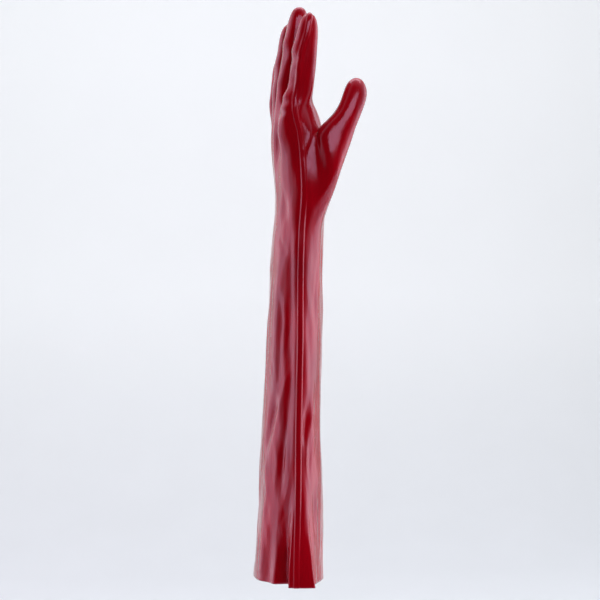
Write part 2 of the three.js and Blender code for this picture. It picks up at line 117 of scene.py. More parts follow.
# Palm sections: up, wide, thick, forward, lens of the back, lens of the palm's side, back, follow.
PALM = (
    (0.22, 0.985, 0.93, 1.09, 0.42, 0.34, 0.1, 0),
    (0.47, 0.99, 1.01, 0.92, 0.38, 0.32, 0.08, 0.1),
    (0.72, 1.0, 1.06, 0.88, 0.3, 0.3, 0.08, 0.4),
    (0.87, 1.0, 0.93, 0.68, 0.18, 0.26, 0.08, 0.8),
    (1, 1.0, 0.79, 0.37, 0.16, 0.24, 0, 1),
)

# The cuff's pleat on the thumb's side: turn from that seam, then forward and out as shares of the
# cuff's thickness. It fades to nothing at a share of the sleeve.
PLEAT_REACH = 0.27
PLEAT = (
    (-76, 0, 0),
    (-60, -0.03, -0.04),
    (-42, -0.09, 0.03),
    (-22, 0.04, 0.11),
    (-8, 0.02, 0.05),
    (0, -0.03, 0.025),
    (8, -0.09, 0),
    (22, 0.094, -0.3),
    (42, 0.06, -0.116),
    (60, 0.02, -0.07),
    (75.5, 0, 0),
)

# The pleat's sharp edges: turn, sharpness.
PLEAT_EDGES = {8: 0.9, 22: 0.6, 42: 0.6, 338: 0.7}

# How far the finger forks lie below the highest one: across, drop.
FORKS = ((-1, 0.07), (-0.5, 0.02), (0, 0), (0.5, 0.09), (1, 0.17))

# The knuckles and the valleys between them, by column of the back: deep, drop.
VALLEY_STARTS = 0.6
VALLEY_STEEPNESS = 1.4
VALLEYS = {
    1: (-0.03, 0),
    2: (0.1, 0.07),
    3: (-0.04, 0),
    4: (0.1, 0.075),
    5: (-0.03, 0),
    6: (0.09, 0.05),
}

# Fingers: length, size, start, lean, splay.
FINGERS = (
    (93, 0.98, 0.05, 0.41, -0.2),
    (100, 1, -0.18, 0.43, -0.04),
    (91, 0.95, -0.24, 0.25, 0.08),
    (68, 0.85, -0.27, 0.06, 0.2),
)

# Finger sections: up, width, thick.
FINGER = (
    (0.1, 0.9, 1.03),
    (0.25, 0.98, 0.99),
    (0.42, 1.03, 1.0),
    (0.6, 0.97, 0.91),
    (0.77, 0.93, 0.84),
    (0.9, 0.8, 0.7),
    (0.975, 0.46, 0.4),
)

# Thumb sections: forward, aside, up, turn, width, depth.
THUMB = (
    (0.165, -0.355, 0.5, 62, 1.95, 1.15),
    (0.25, -0.348, 0.67, 42, 1.35, 1.1),
    (0.33, -0.338, 0.803, 29, 1.0, 1.05),
    (0.394, -0.322, 0.924, 24, 0.88, 1.0),
    (0.436, -0.303, 1.029, 20, 0.91, 0.93),
    (0.452, -0.29, 1.11, 17, 0.76, 0.74),
    (0.458, -0.283, 1.158, 14, 0.36, 0.36),
)
THUMB_TIP = (0.459, -0.281, 1.17)
# The part of the palm that the thumb grows from, and the ball below it, as shares of the palm.
THUMB_ROWS = (0, 2)
THUMB_COLUMNS = (0, 2)
THUMB_BALL = {"up": 0.27, "across": -0.66, "reach_up": 0.3, "reach_across": 0.44, "height": 0.125}

# Folds that run straight up the sleeve: up and turn at both ends, reach and height in millimetres.
SLEEVE_FOLDS = (
    (0, 0.25, 43, 16, 6.3, 1.6),
    (0, 0.25, -20, -14, 5.4, 1.4),
    (0, 0.24, -34, -24, 7.2, -1.8),
    (0, 0.18, 58, 54, 7.7, -1.8),
    (0.02, 0.24, 72, 64, 7.2, 1.4),
    (0.02, 0.3, 106, 84, 12.6, -2.3),
    (0, 0.25, 140, 128, 11.7, 2.3),
    (0, 0.22, 168, 174, 9, -3.1),
    (0, 0.2, 180, 180, 7.2, 3.6),
    (0, 0.22, 196, 186, 9, -3.1),
    (0, 0.24, 222, 232, 11.7, -2.7),
    (0, 0.26, 262, 276, 11.7, 2.0),
    (0.24, 0.54, 43, 36, 6.8, -1.6),
    (0.36, 0.54, 72, 54, 6.8, -1.6),
    (0.48, 0.92, 56, 54, 10.8, 1.6),
    (0.5, 0.86, 112, 96, 13.5, -2.3),
    (0.36, 0.52, -21, -26, 6.8, -1.6),
    (0.34, 0.56, -30, -38, 6.3, 1.1),
    (0.26, 0.9, -76, -66, 13.5, -1.8),
    (0.6, 0.92, 244, 256, 13.5, -2.0),
    (0.32, 0.97, 29, 28, 5.2, -2.3),
    (0.3, 1.02, 156, 154, 7.7, -2.3),
    (0.3, 1.02, 204, 206, 7.7, -2.3),
)

# Small dents and creases that the CAD part leaves out: (up, turn) at two or more places, reach and
# height in millimetres.
SLEEVE_CREASES = (
    (((0.803, 53), (0.723, 48), (0.638, 51), (0.548, 52)), 4.5, -2.0),
    (((0.782, 39), (0.697, 38), (0.601, 38)), 4.2, -1.8),
    (((0.505, 55), (0.447, 62), (0.383, 70)), 3.8, -1.7),
    (((0.527, 35), (0.426, 37), (0.346, 41), (0.239, 41)), 3.8, -1.7),
    (((0.213, 30), (0.170, 41)), 3.0, -1.2),
    (((0.479, -24), (0.436, -26), (0.388, -20)), 3.5, -1.4),
    (((0.346, 71), (0.282, 68), (0.234, 61)), 4.0, 1.2),
    (((0.218, 63), (0.170, 60)), 3.5, -1.3),
    (((0.202, 13), (0.154, 18), (0.074, 10), (0.016, 7)), 2.2, 0.9),
    (((0.984, 95), (0.979, 69)), 2.0, -0.9),
    (((0.95, 60), (0.90, 38)), 3.0, -0.9),
    (((0.26, -38), (0.12, -44)), 3.0, -1.1),
    (((0.22, -52), (0.08, -56)), 3.0, -1.0),
    (((0.5, -42), (0.42, -28), (0.33, -22), (0.25, -31)), 1.9, 1.1),
    (((0.47, -52), (0.39, -40), (0.3, -32)), 1.9, 0.9),
    (((0.33, -58), (0.25, -46), (0.17, -50)), 1.9, 0.8),
    (((0.6, 28), (0.5, 46), (0.44, 50)), 2.2, 1.0),
    (((0.4, 58), (0.34, 48), (0.25, 52)), 2.2, 0.9),
    (((0.3, 24), (0.24, 31), (0.16, 44)), 2.0, 1.1),
    (((0.72, 60), (0.62, 66), (0.56, 58)), 2.6, -0.9),
    (((0.9, -48), (0.78, -40), (0.7, -44)), 3.0, -0.7),
)

# Creases on the thumb's side of the hand: (forward, up) at two or more places, reach and height, all
# in millimetres. They begin between two distances from the middle of the hand, in metres.
HAND_CREASE_START = (0.02, 0.035)
HAND_CREASES = (
    (((22.5, 470.8), (16.4, 453.3), (11.8, 442), (13.9, 430.6)), 2.4, -1.2),
    (((18.5, 468.7), (13.4, 453.3), (8.8, 442)), 2.4, 0.8),
)

# The web of the thumb, where the coat is drawn smooth: place and reach in millimetres, rounds.
# Vertices whose share of the smoothing is below the edge value stay.
WEB = ((21, -54, 460), (13, 18, 32), 16)
WEB_EDGE = 0.02

# Swellings and hollows of the hand: place, reach, and how far the coat moves, in millimetres.
SWELLINGS = (
    ((33, -60, 408), (30, 24, 34), (0, -10, 0)),
    ((16, -46, 484), (10, 13, 13), (-6, 0, 0)),
    ((-3, -40, 553), (9, 15, 8), (-1.6, 0, 0)),
    ((-1, -47, 541), (8, 9, 5), (2.4, 0, 0)),
    ((-6, -49, 521), (8, 8, 12), (4.4, 1, 0)),
    ((53, -45, 517), (9, 30, 22), (-1.6, 0, 0)),
    ((-11, -34, 505), (9, 12, 5), (-1.5, 0, 0)),
    ((-14, -46, 497), (7, 9, 4.5), (2.8, 0, 0)),
    ((-17, -43, 486), (8, 9, 4.5), (2.8, 0, 0)),
    ((-9, -14, 562), (8, 12, 7), (-1.4, 0, 0)),
    ((-10, -23, 550), (8, 8, 9), (2.8, 0, 0)),
    ((-18, -14, 522), (8, 12, 9), (-1.6, 0, 0)),
    ((-12, 13, 545), (8, 12, 8), (-1.2, 0, 0)),
    ((-18, 13, 517), (8, 12, 9), (-1.4, 0, 0)),
    ((-18, 39, 505), (8, 12, 8), (-1.2, 0, 0)),
    ((-18, -38, 466), (10, 11, 15), (-3.8, -1, 0)),
    ((-17, -24, 456), (9, 6, 18), (3.4, 0, 0)),
    ((-13, -36, 415), (8, 8, 16), (-1.6, 0, 0)),
    ((-13, -34, 385), (8, 8, 12), (1.8, 0, 0)),
    ((-20, -10, 452), (9, 8, 24), (-1.2, 0, 0)),
)

# Slow waves of the coat: how dense they are round the glove and up it, and their share. They sink to
# half their height between these two heights in metres, and stay so on the hand.
WAVES = ((55, 9, 1), (110, 30, 0.7))
WAVE_CHANGE = (0.44, 0.49)
# Below this height, in metres, the coat is the cuff's edge and stays level.
HEM = 0.0005
# A seam's ridge is full and ends at these shares of its half width.
RIDGE_FULL = 0.6
RIDGE_END = 1.25

# The camera: degrees from the thumb's side, distance, height and shift to the right, and its lens.
CAMERA_AZIMUTH = -8
CAMERA_DISTANCE = 1.85
CAMERA_HEIGHT = 0.2926
CAMERA_RIGHT = 0.01217
LENS = 104.9

# The backdrop: a floor that curves up into a wall.
FLOOR_FRONT = -0.55
FLOOR_BACK = 1.6
FLOOR_HEIGHT = -0.35
CURVE = 1.2
CURVE_STEPS = 16
WALL_TOP = 4.5
HALF_BREADTH = 5.0
# Painted light: its own glow stands in for the light from above, darker low and brighter up the wall.
# It runs from GLOW_BELOW the glove's foot up: share of GLOW_REACH, light.
GLOW_BELOW = 0.3
GLOW_REACH = 1.2
BACKDROP_GLOW = ((0, 0.02), (0.5, 0.28), (1, 0.36))

# Soft boxes: name, place and aim (degrees to the right of the camera, distance, height), size,
# radiance, colour.
LIGHTS = (
    ("key_box", (20, 2.0, 1.5), (0, 0, 0.45), (2.0, 0.95), 3.2, (1, 0.97, 1)),
    ("right_box", (115, 2.0, 0.5), (0, 0, 0.3), (1.5, 2.6), 1.45, (0.98, 0.92, 1)),
    ("left_box", (-118, 2.0, 0.5), (0, 0, 0.3), (1.7, 2.6), 0.95, (1, 0.76, 0.95)),
    ("top_box", (180, 1.2, 2.8), (0, 0, 0.3), (3.0, 1.2), 1.6, (1, 1, 1)),
    ("wall_box", (180, 0.8, 3.4), (180, 2.9, 0.9), (4.0, 1.2), 2.6, (1, 1, 1)),
)


def mix(start, end, share):
    return start + (end - start) * share


def column(table, at, value):
    """Reads a table of sections at a place between its rows."""
    for low, high in zip(table, table[1:]):
        if at <= high[0]:
            return mix(low[value], high[value], max(0, (at - low[0]) / (high[0] - low[0])))
    return table[-1][value]


def smooth(values, low, high):
    share = np.clip((values - low) / (high - low), 0, 1)
    return share * share * (3 - 2 * share)


def back_column(n):
    return FIRST_BACK_COLUMN + n


def palm_column(n):
    return FIRST_PALM_COLUMN - n


def section_point(section, turn):
    """A place on a section of the sleeve or hand, whose two sides are lens-shaped."""
    half_breadth, half_thickness, centre, back_lens, palm_lens, back, height = section
    across = -math.cos(math.radians(turn))
    side, lens = (1, palm_lens) if math.sin(math.radians(turn)) < 0 else (-1, back_lens)
    rest = max(0, 1 - across * across)
    if turn in SEAM_TURNS:
        rest = (SEAM_BAND / half_thickness) ** (1 / lens)
        across = math.copysign(math.sqrt(1 - rest), across)
    x = centre + half_thickness * (side * rest**lens - back * abs(across) ** 6)
    return Vector((x, half_breadth * across, height))


def sleeve_section(up):
    narrow, thin, lean, back_lens, palm_lens, back = (column(SLEEVE, up, i) for i in range(1, 7))
    return (
        mix(CUFF[0], WRIST[0], narrow) / 2,
        mix(CUFF[1], WRIST[1], thin) / 2,
        SLEEVE_LEAN * lean,
        back_lens,
        palm_lens,
        back,
        SLEEVE_LENGTH * up,
    )


def sleeve_point(up, turn):
    """A place on the sleeve. The pleat folds the cuff's edge on the thumb's side."""
    place = section_point(sleeve_section(min(1, up)), turn)
    from_seam = turn - 360 if turn > 180 else turn
    fade = CUFF[1] * max(0, 1 - up / PLEAT_REACH)
    if PLEAT[0][0] < from_seam < PLEAT[-1][0]:
        place.x += column(PLEAT, from_seam, 1) * fade
        place.y -= column(PLEAT, from_seam, 2) * fade
    return place


class Cage:
    """Points and cells in millimetres. seam is 1 on the side seams, sharp holds the sharp edges."""

    def __init__(self):
        self.points = []
        self.seam = []
        self.faces = []
        self.sharp = {}

    def point(self, place, on_seam=0.0):
        self.points.append(Vector(place))
        self.seam.append(on_seam)
        return len(self.points) - 1

    def band(self, lower, upper):
        for i, corner in enumerate(lower):
            after = (i + 1) % len(lower)
            self.faces.append((corner, upper[i], upper[after], lower[after]))

    def cap(self, loop, tip):
        for i in range(0, len(loop), 2):
            self.faces.append((loop[i], tip, loop[(i + 2) % len(loop)], loop[i + 1]))

    def ring(self, centre, across, back, half_width, half_thickness, seams=()):
        loop = []
        for i in range(8):
            angle = i * math.pi / 4
            size = ROUNDING * (SQUARENESS if i % 2 else 1)
            place = centre - across * (half_width * size * math.cos(angle))
            place = place + back * (half_thickness * size * math.sin(angle))
            loop.append(self.point(place, float(i in seams)))
        return loop


def thumb_ball_push(across, up):
    """How far the ball of the thumb stands out of the palm."""
    reach = math.hypot(
        (up - THUMB_BALL["up"]) / THUMB_BALL["reach_up"],
        (across - THUMB_BALL["across"]) / THUMB_BALL["reach_across"],
    )
    return PALM_LENGTH * THUMB_BALL["height"] * math.exp(-2 * reach * reach)


def pressed_in(place, at, up):
    """The place with the knuckles and valleys of the back of the hand."""
    n = at - FIRST_BACK_COLUMN
    if n in VALLEYS and up > VALLEY_STARTS:
        deep, drop = VALLEYS[n]
        share = (up - VALLEY_STARTS) / (1 - VALLEY_STARTS)
        place.x += PALM_SIZE[1] * deep * min(1, VALLEY_STEEPNESS * share)
        place.z -= PALM_LENGTH * drop * share
    return place


def sleeve_and_hand_rows(cage):
    """The cage's rows up the sleeve and the hand, each once round."""

    def on_seam(at):
        return float(at % LITTLE_SEAM == 0)

    rows = []
    for up, *_ in SLEEVE:
        rows.append(
            [cage.point(sleeve_point(up, turn), on_seam(at)) for at, turn in enumerate(TURNS)]
        )
    for up, wide, thick, forward, back_lens, palm_lens, back, follow in PALM:
        half_breadth = PALM_SIZE[0] * wide / 2
        half_thickness = PALM_SIZE[1] * thick / 2
        height = SLEEVE_LENGTH + PALM_LENGTH * up
        centre = SLEEVE_LEAN * forward
        section = (half_breadth, half_thickness, centre, back_lens, palm_lens, back, height)
        row = []
        for at, turn in enumerate(TURNS):
            place = section_point(section, turn)
            across = place.y / half_breadth
            place.z -= PALM_LENGTH * follow * column(FORKS, across, 1)
            if turn > 180:
                place.x += thumb_ball_push(across, up)
            row.append(cage.point(pressed_in(place, at, up), on_seam(at)))
        rows.append(row)
    return rows


def finger_line(index):
    """The foot of a finger's middle line and its run to the tip."""
    length, _, start, lean, splay = FINGERS[index]
    across = (index - 1.5) / 2
    foot = Vector(
        (
            SLEEVE_LEAN * PALM[-1][3] + FINGER_THICKNESS * start,
            PALM_SIZE[0] / 2 * across,
            SLEEVE_LENGTH + PALM_LENGTH * (1 - column(FORKS, across, 1)),
        )
    )
    return foot, Vector((FINGER_THICKNESS * lean, FINGER_WIDTH * splay, length))


def add_finger(cage, index, root_row, forks):
    """Rings from a finger's root to its tip. The outer two take in the columns beside the seams."""
    size = FINGERS[index][1]
    left = 2 * index
    root = [
        forks[index],
        root_row[back_column(left)],
        root_row[back_column(left + 1)],
        root_row[back_column(left + 2)],
        forks[index + 1],
        root_row[palm_column(left + 2)],
        root_row[palm_column(left + 1)],
        root_row[palm_column(left)],
    ]
    extras = {
        (0, 0): [root_row[1]],
        (0, 7): [root_row[len(TURNS) - 1]],
        (3, 3): [root_row[LITTLE_SEAM - 1]],
        (3, 4): [root_row[LITTLE_SEAM + 1]],
    }
    foot, run = finger_line(index)
    along = run.normalized()
    side = (Vector((0, 1, 0)) - along * along.y).normalized()
    back = -side.cross(along)
    lower = root
    for up, width, thick in FINGER:
        upper = cage.ring(
            foot + run * up,
            side,
            back,
            FINGER_WIDTH * size * width / 2,
            FINGER_THICKNESS * size * thick / 2,
            (0,) if index == 0 else (4,) if index == 3 else (),
        )
        if lower is root:
            for i, corner in enumerate(root):
                after = (i + 1) % 8
                between = extras.get((index, i), [])
                cage.faces.append((corner, upper[i], upper[after], root[after], *between))
        else:
            cage.band(lower, upper)
        lower = upper
    cage.cap(lower, cage.point(foot + run))


def thumb_place(forward, aside, up):
    return Vector(
        (SLEEVE_LEAN + PALM_LENGTH * forward, PALM_LENGTH * aside, SLEEVE_LENGTH + PALM_LENGTH * up)
    )


def add_thumb(cage, palm_rows):
    """Rings from the gap in the palm's side to the thumb's tip."""
    low, high = THUMB_ROWS
    near, far = THUMB_COLUMNS

    def at(row, n):
        return palm_rows[row][palm_column(n)]

    lower = [
        at(low + 1, near),
        at(high, near),
        at(high, near + 1),
        at(high, far),
        at(low + 1, far),
        at(low, far),
        at(low, near + 1),
        at(low, near),
    ]
    for forward, aside, up, turn, width, depth in THUMB:
        turned = math.radians(turn)
        upper = cage.ring(
            thumb_place(forward, aside, up),
            Vector((0, 1, 0)),
            Vector((-math.cos(turned), 0, math.sin(turned))),
            THUMB_WIDTH * depth / 2,
            THUMB_WIDTH * width / 2,
            (),
        )
        cage.band(lower, upper)
        lower = upper
    cage.cap(lower, cage.point(thumb_place(*THUMB_TIP)))


def glove_cage():
    """The whole coat's cage, with a gap in the palm's side that the thumb fills."""
    cage = Cage()
    rows = sleeve_and_hand_rows(cage)
    wrist = len(SLEEVE) - 1
    for r, (up, *_) in enumerate(SLEEVE[:-1]):
        for turn, sharpness in PLEAT_EDGES.items():
            at = TURNS.index(turn)
            edge = (rows[r][at], rows[r + 1][at])
            cage.sharp[edge] = sharpness * max(0, 1 - up / PLEAT_REACH)
    for r, (lower, upper) in enumerate(zip(rows, rows[1:])):
        palm_row = r - wrist - 1
        for at in range(len(TURNS)):
            after = (at + 1) % len(TURNS)
            n = FIRST_PALM_COLUMN - after
            in_rows = THUMB_ROWS[0] <= palm_row < THUMB_ROWS[1]
            if not (in_rows and THUMB_COLUMNS[0] <= n < THUMB_COLUMNS[1]):
                cage.faces.append((lower[at], upper[at], upper[after], lower[after]))
    root_row = rows[-1]
    forks = [root_row[0]]
    for n in (2, 4, 6):
        back = cage.points[root_row[back_column(n)]]
        palm = cage.points[root_row[palm_column(n)]]
        forks.append(cage.point((back + palm) / 2))
    forks.append(root_row[LITTLE_SEAM])
    for index in range(len(FINGERS)):
        add_finger(cage, index, root_row, forks)
    add_thumb(cage, rows[wrist + 1 :])
    return cage


def use(obj):
    """Selects one object alone and makes it active."""
    for other in bpy.context.view_layer.objects:
        other.select_set(False)
    obj.select_set(True)
    bpy.context.view_layer.objects.active = obj


def apply_modifier(obj, kind, **settings):
    use(obj)
    modifier = obj.modifiers.new(kind.lower(), kind)
    for name, value in settings.items():
        setattr(modifier, name, value)
    bpy.ops.object.modifier_apply(modifier=modifier.name)


def vertex_arrays(mesh):
    places = np.empty(len(mesh.vertices) * 3)
    normals = np.empty_like(places)
    mesh.vertices.foreach_get("co", places)
    mesh.vertices.foreach_get("normal", normals)
    return places.reshape(-1, 3), normals.reshape(-1, 3)


def set_places(mesh, places):
    mesh.vertices.foreach_set("co", places.ravel())
    mesh.update()


def distance_to(places, start, end):
    """Distance of each place from a straight line, and how far along it the nearest point is."""
    start, end = np.array(start), np.array(end)
    line = end - start
    share = np.clip((places - start) @ line / (line @ line), 0, 1)
    nearest = start + share[:, None] * line
    return np.linalg.norm(places - nearest, axis=1), share


def seam_distance(mesh, places):
    """Distance of each vertex from the nearest side seam. The seam wanders along the index finger."""
    seam = np.empty(len(mesh.vertices), np.float32)
    mesh.attributes["seam"].data.foreach_get("value", seam)
    flat = places * (1, SEAM_FLATTEN, 1)
    on_seam = np.flatnonzero(seam > 0.999)
    line = flat[on_seam]
    heights, drifts = np.array(SEAM_DRIFT).T * MM
    line[:, 0] += np.interp(line[:, 2], heights, drifts) * (line[:, 1] < 0)
    tree = kdtree.KDTree(len(line))
    for i, place in enumerate(line):
        tree.insert(place, i)
    tree.balance()
    return np.array([tree.find(place)[2] for place in flat])


def fold_heights(places, depth):
    """The sleeve's long folds and its creases, in metres."""
    heights = np.zeros(len(places))
    for up_a, up_b, turn_a, turn_b, reach, height in SLEEVE_FOLDS:
        start, end = sleeve_point(up_a, turn_a) * MM, sleeve_point(up_b, turn_b) * MM
        distance, share = distance_to(places, start, end)
        fade = np.sin(math.pi * share) ** 0.6 if up_a > 0 else 1 - share * share
        heights += depth * height * MM * fade * np.exp(-((distance / (reach * MM)) ** 2))
    for stops, reach, height in SLEEVE_CREASES:
        line = [sleeve_point(*stop) * MM for stop in stops]
        heights += depth * height * MM * crease(places, line, reach * MM)
    return heights


def hand_heights(places):
    """The creases on the thumb's side of the hand, in metres."""
    heights = np.zeros(len(places))
    flat = places * (1, 0, 1)
    near = smooth(-places[:, 1], *HAND_CREASE_START)
    for stops, reach, height in HAND_CREASES:
        line = [Vector((forward, 0, up)) * MM for forward, up in stops]
        heights += height * MM * near * crease(flat, line, reach * MM)
    return heights


def relax(mesh, places):
    """Draws the coat smooth at the web of the thumb."""
    centre, reach, rounds = WEB
    away = (places - np.array(centre) * MM) / (np.array(reach) * MM)
    weights = np.exp(-(away**2).sum(axis=1))
    ends = np.empty(len(mesh.edges) * 2, np.int64)
    mesh.edges.foreach_get("vertices", ends)
    ends = np.concatenate((ends.reshape(-1, 2), ends.reshape(-1, 2)[:, ::-1]))
    ends = ends[weights[ends[:, 0]] > WEB_EDGE]
    near = np.unique(ends[:, 0])
    counts = np.bincount(ends[:, 0], minlength=len(places))[near, None]
    for _ in range(rounds):
        sums = np.zeros_like(places)
        np.add.at(sums, ends[:, 0], places[ends[:, 1]])
        places[near] += weights[near, None] * (sums[near] / counts - places[near])


def swell(places):
    """Moves the coat where the hand is fuller or more hollow than its cage."""
    for centre, reach, move in SWELLINGS:
        away = (places - np.array(centre) * MM) / (np.array(reach) * MM)
        places += np.exp(-(away**2).sum(axis=1))[:, None] * np.array(move) * MM


def crease(places, line, reach):
    """1 on a bent line and 0 well away from it. It thins out to both ends."""
    length = sum((after - before).length for before, after in zip(line, line[1:]))
    best = np.zeros(len(places))
    run = 0
    for before, after in zip(line, line[1:]):
        distance, share = distance_to(places, before, after)
        along = (run + share * (after - before).length) / length
        run += (after - before).length
        thin = np.clip(np.sin(math.pi * along), 0, 1) ** 0.5
        best = np.maximum(best, thin * np.exp(-((distance / reach) ** 2)))
    return best


def wavering(places):
    """Slow waves of the coat, long up the sleeve and short round it."""
    values = np.zeros(len(places))
    for around, along, share in WAVES:
        for i, (x, y, z) in enumerate(places):
            values[i] += share * noise.noise((x * around, y * around, z * along))
    return values


class Paint:
    """The nodes of a material or of the world, with one way to add a node."""

    def __init__(self, owner):
        owner.use_nodes = True
        self.owner = owner
        self.tree = owner.node_tree
        self.tree.nodes.clear()

    def node(self, kind, settings=None, inputs=None, output=0):
        node = self.tree.nodes.new("ShaderNode" + kind)
        for key, value in (settings or {}).items():
            if key == "stops":
                while len(node.color_ramp.elements) < len(value):
                    node.color_ramp.elements.new(0.5)
                for element, (place, color) in zip(node.color_ramp.elements, value):
                    element.position = place
                    element.color = color
            else:
                setattr(node, key, value)
        for key, value in (inputs or {}).items():
            socket = node.inputs[key]
            if isinstance(value, Value):
                self.tree.links.new(value.socket, socket)
            else:
                socket.default_value = value
        return None if output is None else Value(self, node.outputs[output])

    def finish(self, inputs):
        """Ends the material with a Principled shader."""
        shader = self.node("BsdfPrincipled", inputs=inputs)
        self.node("OutputMaterial", inputs={"Surface": shader}, output=None)
        return self.owner


class Value:
    """A shader number. Arithmetic on it adds Math nodes."""

    def __init__(self, paint, socket):
        self.paint = paint
        self.socket = socket

    def math(self, operation, first, second):
        return self.paint.node("Math", {"operation": operation}, {0: first, 1: second})

    def __add__(self, other):
        return self.math("ADD", self, other)

    def __mul__(self, other):
        return self.math("MULTIPLY", self, other)

    def __truediv__(self, other):
        return self.math("DIVIDE", self, other)

    def __rtruediv__(self, other):
        return self.math("DIVIDE", other, self)

    __radd__ = __add__
    __rmul__ = __mul__


def object_place(paint):
    return paint.node("TexCoord", output="Object")


def drawn_out(paint, share):
    """Object coordinates in which a pattern is longer up the glove than round it."""
    inputs = {"Vector": object_place(paint), "Scale": (1, 1, share)}
    return paint.node("Mapping", {"vector_type": "POINT"}, inputs)


def coat_material(settings):
    """Shiny red PVC: thick, a little uneven, with a fine orange-peel skin."""
    paint = Paint(bpy.data.materials.new("pvc_coat"))
    fine = paint.node(
        "TexNoise", inputs={"Vector": object_place(paint), "Scale": 700.0, "Detail": 1.0}
    )
    ripples = paint.node(
        "TexNoise", inputs={"Vector": drawn_out(paint, 0.3), "Scale": 120.0, "Detail": 3.0}
    )
    streaks = paint.node(
        "TexNoise", inputs={"Vector": drawn_out(paint, 0.22), "Scale": 62.0, "Detail": 4.0}
    )
    blotches = paint.node(
        "TexNoise", inputs={"Vector": drawn_out(paint, 0.35), "Scale": 45.0, "Detail": 4.0}
    )
    color = paint.node(
        "ValToRGB",
        {
            "stops": (
                (0.3, (*[c * 0.78 for c in settings.coat_color], 1)),
                (0.7, (*[min(1, c * 1.15) for c in settings.coat_color], 1)),
            )
        },
        {"Fac": blotches},
    )
    height = streaks * 2.8 + ripples * 0.8 + fine * 0.02
    bump = paint.node("Bump", inputs={"Height": height, "Strength": 1.0, "Distance": 0.0003})
    roughness = ripples * 0.1 + (settings.coat_roughness - 0.05)
    return paint.finish(
        {
            "Base Color": color,
            "Roughness": roughness,
            "IOR": 1.52,
            "Specular Tint": (1, 0.66, 0.98, 1),
            "Normal": bump,
        }
    )


def lining_material(settings):
    """Cotton knit inside the glove, with its fine ribs."""
    paint = Paint(bpy.data.materials.new("cotton_lining"))
    ribs = paint.node(
        "TexWave",
        {"wave_type": "BANDS", "bands_direction": "Z"},
        {"Vector": object_place(paint), "Scale": 260.0, "Distortion": 2.0, "Detail": 1.0},
    )
    fibres = paint.node(
        "TexNoise", inputs={"Vector": object_place(paint), "Scale": 1500.0, "Detail": 3.0}
    )
    shade = [c * 0.72 for c in settings.lining_color]
    color = paint.node(
        "ValToRGB",
        {"stops": ((0.25, (*shade, 1)), (0.7, (*settings.lining_color, 1)))},
        {"Fac": ribs * 0.5 + fibres * 0.5},
    )
    height = ribs + fibres * 0.6
    bump = paint.node("Bump", inputs={"Height": height, "Strength": 0.8, "Distance": 0.0005})
    return paint.finish({"Base Color": color, "Roughness": 0.95, "IOR": 1.4, "Normal": bump})


def backdrop_material(settings):
    """Matt paper with a painted glow that stands in for light from above, brighter up the wall."""
    paint = Paint(bpy.data.materials.new("backdrop_paper"))
    grain = paint.node("TexNoise", inputs={"Vector": object_place(paint), "Scale": 8.0})
    shade = [c * 0.985 for c in settings.backdrop_color]
    color = paint.node(
        "ValToRGB",
        {"stops": ((0.3, (*shade, 1)), (0.7, (*settings.backdrop_color, 1)))},
        {"Fac": grain},
    )
    height = paint.node("SeparateXYZ", inputs={"Vector": object_place(paint)}, output="Z")
    # Painted light: emission that grows with height in place of light falling from above.
    glow = paint.node(
        "ValToRGB",
        {"stops": [(at, (light, light, light, 1)) for at, light in BACKDROP_GLOW]},
        {"Fac": (height + GLOW_BELOW) / GLOW_REACH},
    )
    return paint.finish(
        {"Base Color": color, "Roughness": 0.9, "Emission Color": glow, "Emission Strength": 1.0}
    )


class GloveSettings(bpy.types.PropertyGroup):
    """Sizes and colours of the glove and its studio."""

    wall: bpy.props.FloatProperty(
        name="Wall", description="Thickness of coat and lining", default=0.0014, unit="LENGTH"
    )
    seam_width: bpy.props.FloatProperty(
        name="Seam width",
        description="Width of a side seam under the coat",
        default=0.0056,
        unit="LENGTH",
    )
    seam_height: bpy.props.FloatProperty(
        name="Seam height",
        description="How far a side seam stands out",
        default=0.0015,
        unit="LENGTH",
    )
    fold_depth: bpy.props.FloatProperty(
        name="Fold depth", description="Share of the sleeve's folds", default=1.0, subtype="FACTOR"
    )
    wave_depth: bpy.props.FloatProperty(
        name="Wave depth", description="Height of the coat's slow waves", default=0.001, unit="LENGTH"
    )
    coat_color: bpy.props.FloatVectorProperty(
        name="Coat colour",
        description="Colour of the PVC",
        default=(0.455, 0.0, 0.007),
        subtype="COLOR",
    )
    coat_roughness: bpy.props.FloatProperty(
        name="Coat roughness",
        description="How soft the coat's shine is",
        default=0.17,
        subtype="FACTOR",
    )
    lining_color: bpy.props.FloatVectorProperty(
        name="Lining colour",
        description="Colour of the cotton inside",
        default=(0.72, 0.69, 0.62),
        subtype="COLOR",
    )
    backdrop_color: bpy.props.FloatVectorProperty(
        name="Backdrop colour",
        description="Colour of floor and backdrop",
        default=(0.77, 0.8, 0.83),
        subtype="COLOR",
    )


class GLOVE_OT_coat(bpy.types.Operator):
    """Model the glove's coat and its lining as one shell"""

    bl_idname = "glove.make_coat"
    bl_label = "Make glove"

    def execute(self, context):
        settings = context.scene.glove
        cage = glove_cage()
        mesh = bpy.data.meshes.new("glove_shell")
        mesh.from_pydata([p * MM for p in cage.points], [], cage.faces)
        seam = mesh.attributes.new("seam", "FLOAT", "POINT")
        seam.data.foreach_set("value", cage.seam)
        sharpness = mesh.attributes.new("crease_edge", "FLOAT", "EDGE")
        for edge in mesh.edges:
            sharpness.data[edge.index].value = cage.sharp.get(tuple(sorted(edge.vertices)), 0)
        glove = bpy.data.objects.new("glove_shell", mesh)
        context.scene.collection.objects.link(glove)
        apply_modifier(glove, "SUBSURF", levels=3, render_levels=3)
        mesh = glove.data
        mesh.shade_smooth()
        mould(mesh, settings)
        glove.data.materials.append(coat_material(settings))
        glove.data.materials.append(lining_material(settings))
        apply_modifier(
            glove,
            "SOLIDIFY",
            thickness=settings.wall,
            offset=-1,
            material_offset=1,
            material_offset_rim=0,
        )
        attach(glove, "root")
        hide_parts(*frame["nodes"])
        return {"FINISHED"}


